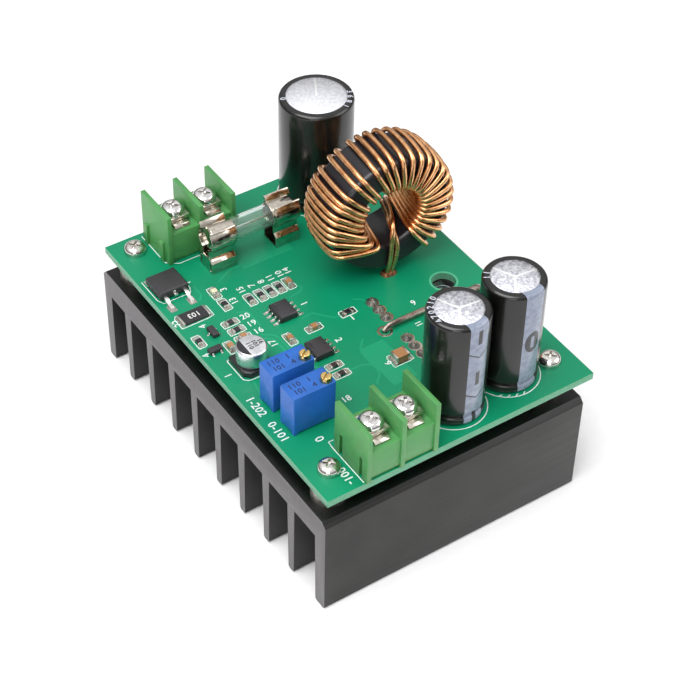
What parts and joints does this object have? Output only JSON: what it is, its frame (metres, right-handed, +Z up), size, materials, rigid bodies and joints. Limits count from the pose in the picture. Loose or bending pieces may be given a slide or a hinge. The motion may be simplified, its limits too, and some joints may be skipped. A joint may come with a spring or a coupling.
{
  "type": "boost converter module",
  "caption": "Open-frame step-up converter board with choke, capacitors, screw terminals and fuse, carried on standoffs above a finned black heatsink.",
  "frame": {"origin": "middle of the whole module's footprint, on the plane of the heatsink's fin tips", "axes": "+Z up out of the board's component side, +Y along the board from the output terminals to the input terminals, +X from the adjusters' edge to the choke's edge"},
  "size_m": [0.063, 0.0863, 0.0619],
  "materials": {
    "black_anodise": "black anodised extrusion",
    "standoff_metal": "turned aluminium",
    "nickel_screw": "bright nickel plate",
    "board_laminate": "glass-epoxy laminate with a satin green mask",
    "tinned_copper": "tinned",
    "black_epoxy": "moulded epoxy",
    "silicone_pad": "soft grey sheet",
    "white_nylon": "moulded",
    "core_coating": "powder core with a dark baked coating",
    "enamelled_copper": "clear enamel over bare copper",
    "capacitor_aluminium": "bright drawn aluminium",
    "black_sleeve": "shrunk film, gloss",
    "green_plastic": "moulded, satin",
    "plated_contact": "tin plated",
    "clear_glass": "clear",
    "fuse_wire": "drawn wire",
    "blue_plastic": "moulded",
    "brass_screw": "turned brass",
    "resistor_ceramic": "black glazed film",
    "capacitor_ceramic": "fired, tan",
    "lamp_resin": "cast resin"
  },
  "bodies": {
    "board_assembly": {"heatsink": "black_anodise", "board_standoffs": "standoff_metal", "board_screws": "nickel_screw", "tab_screws": "nickel_screw", "circuit_board": "board_laminate", "switch_tab": "tinned_copper", "rectifier_tab": "tinned_copper", "switch_leads": "tinned_copper", "rectifier_leads": "tinned_copper", "regulator_tab": "tinned_copper", "regulator_leads": "tinned_copper", "chip_leads": "tinned_copper", "small_transistor_leads": "tinned_copper", "small_capacitor_tabs": "tinned_copper", "surface_part_ends": "tinned_copper", "capacitor_leads": "tinned_copper", "trimmer_pins": "tinned_copper", "jumper_wire": "tinned_copper", "solder_joints": "tinned_copper", "switch_body": "black_epoxy", "rectifier_body": "black_epoxy", "amplifier_chip": "black_epoxy", "controller_chip": "black_epoxy", "regulator_body": "black_epoxy", "small_transistors": "black_epoxy", "small_capacitor_base": "black_epoxy", "insulating_pads": "silicone_pad", "tab_bushes": "white_nylon", "choke_core": "core_coating", "choke_winding": "enamelled_copper", "input_capacitor_can": "capacitor_aluminium", "output_capacitor_can_left": "capacitor_aluminium", "output_capacitor_can_right": "capacitor_aluminium", "small_capacitor_can": "capacitor_aluminium", "input_capacitor_sleeve": "black_sleeve", "output_capacitor_sleeve_left": "black_sleeve", "output_capacitor_sleeve_right": "black_sleeve", "output_terminal_housing": "green_plastic", "input_terminal_housing": "green_plastic", "output_terminal_contacts": "plated_contact", "input_terminal_contacts": "plated_contact", "fuse_clips": "plated_contact", "fuse_caps": "plated_contact", "fuse_tube": "clear_glass", "fuse_element": "fuse_wire", "voltage_trimmer_body": "blue_plastic", "current_trimmer_body": "blue_plastic", "chip_resistors": "resistor_ceramic", "chip_capacitors": "capacitor_ceramic", "indicator_lamp": "lamp_resin"},
    "output_clamp_a": {"output_clamp_plate_a": "plated_contact"},
    "output_screw_a": {"output_clamp_screw_a": "nickel_screw"},
    "output_clamp_b": {"output_clamp_plate_b": "plated_contact"},
    "output_screw_b": {"output_clamp_screw_b": "nickel_screw"},
    "input_clamp_a": {"input_clamp_plate_a": "plated_contact"},
    "input_screw_a": {"input_clamp_screw_a": "nickel_screw"},
    "input_clamp_b": {"input_clamp_plate_b": "plated_contact"},
    "input_screw_b": {"input_clamp_screw_b": "nickel_screw"},
    "voltage_adjuster": {"voltage_trimmer_screw": "brass_screw"},
    "current_adjuster": {"current_trimmer_screw": "brass_screw"}
  },
  "joints": [
    {"name": "output_clamp_a_lift", "type": "slide", "parent": "board_assembly", "child": "output_clamp_a", "axis": [0, 0, 1], "range_m": [0, 0.0025]},
    {"name": "output_screw_a_turn", "type": "hinge", "parent": "output_clamp_a", "child": "output_screw_a", "pos_m": [-0.01836, -0.03785, 0.0402], "axis": [0, 0, 1], "range_deg": [0, 1800]},
    {"name": "output_clamp_b_lift", "type": "slide", "parent": "board_assembly", "child": "output_clamp_b", "axis": [0, 0, 1], "range_m": [0, 0.0025]},
    {"name": "output_screw_b_turn", "type": "hinge", "parent": "output_clamp_b", "child": "output_screw_b", "pos_m": [-0.01074, -0.03785, 0.0402], "axis": [0, 0, 1], "range_deg": [0, 1800]},
    {"name": "input_clamp_a_lift", "type": "slide", "parent": "board_assembly", "child": "input_clamp_a", "axis": [0, 0, 1], "range_m": [0, 0.0025]},
    {"name": "input_screw_a_turn", "type": "hinge", "parent": "input_clamp_a", "child": "input_screw_a", "pos_m": [-0.01074, 0.03505, 0.0402], "axis": [0, 0, 1], "range_deg": [0, 1800]},
    {"name": "input_clamp_b_lift", "type": "slide", "parent": "board_assembly", "child": "input_clamp_b", "axis": [0, 0, 1], "range_m": [0, 0.0025]},
    {"name": "input_screw_b_turn", "type": "hinge", "parent": "input_clamp_b", "child": "input_screw_b", "pos_m": [-0.01836, 0.03505, 0.0402], "axis": [0, 0, 1], "range_deg": [0, 1800]},
    {"name": "voltage_adjuster_turn", "type": "hinge", "parent": "board_assembly", "child": "voltage_adjuster", "pos_m": [-0.01929, -0.02425, 0.0407], "axis": [0, 0, 1], "continuous": true},
    {"name": "current_adjuster_turn", "type": "hinge", "parent": "board_assembly", "child": "current_adjuster", "pos_m": [-0.01929, -0.01685, 0.0407], "axis": [0, 0, 1], "continuous": true}
  ],
  "couplings": [
    {"joint": "output_screw_a_turn", "follows": "output_clamp_a_lift", "rad_per_m": 12566},
    {"joint": "output_screw_b_turn", "follows": "output_clamp_b_lift", "rad_per_m": 12566},
    {"joint": "input_screw_a_turn", "follows": "input_clamp_a_lift", "rad_per_m": 12566},
    {"joint": "input_screw_b_turn", "follows": "input_clamp_b_lift", "rad_per_m": 12566}
  ]
}
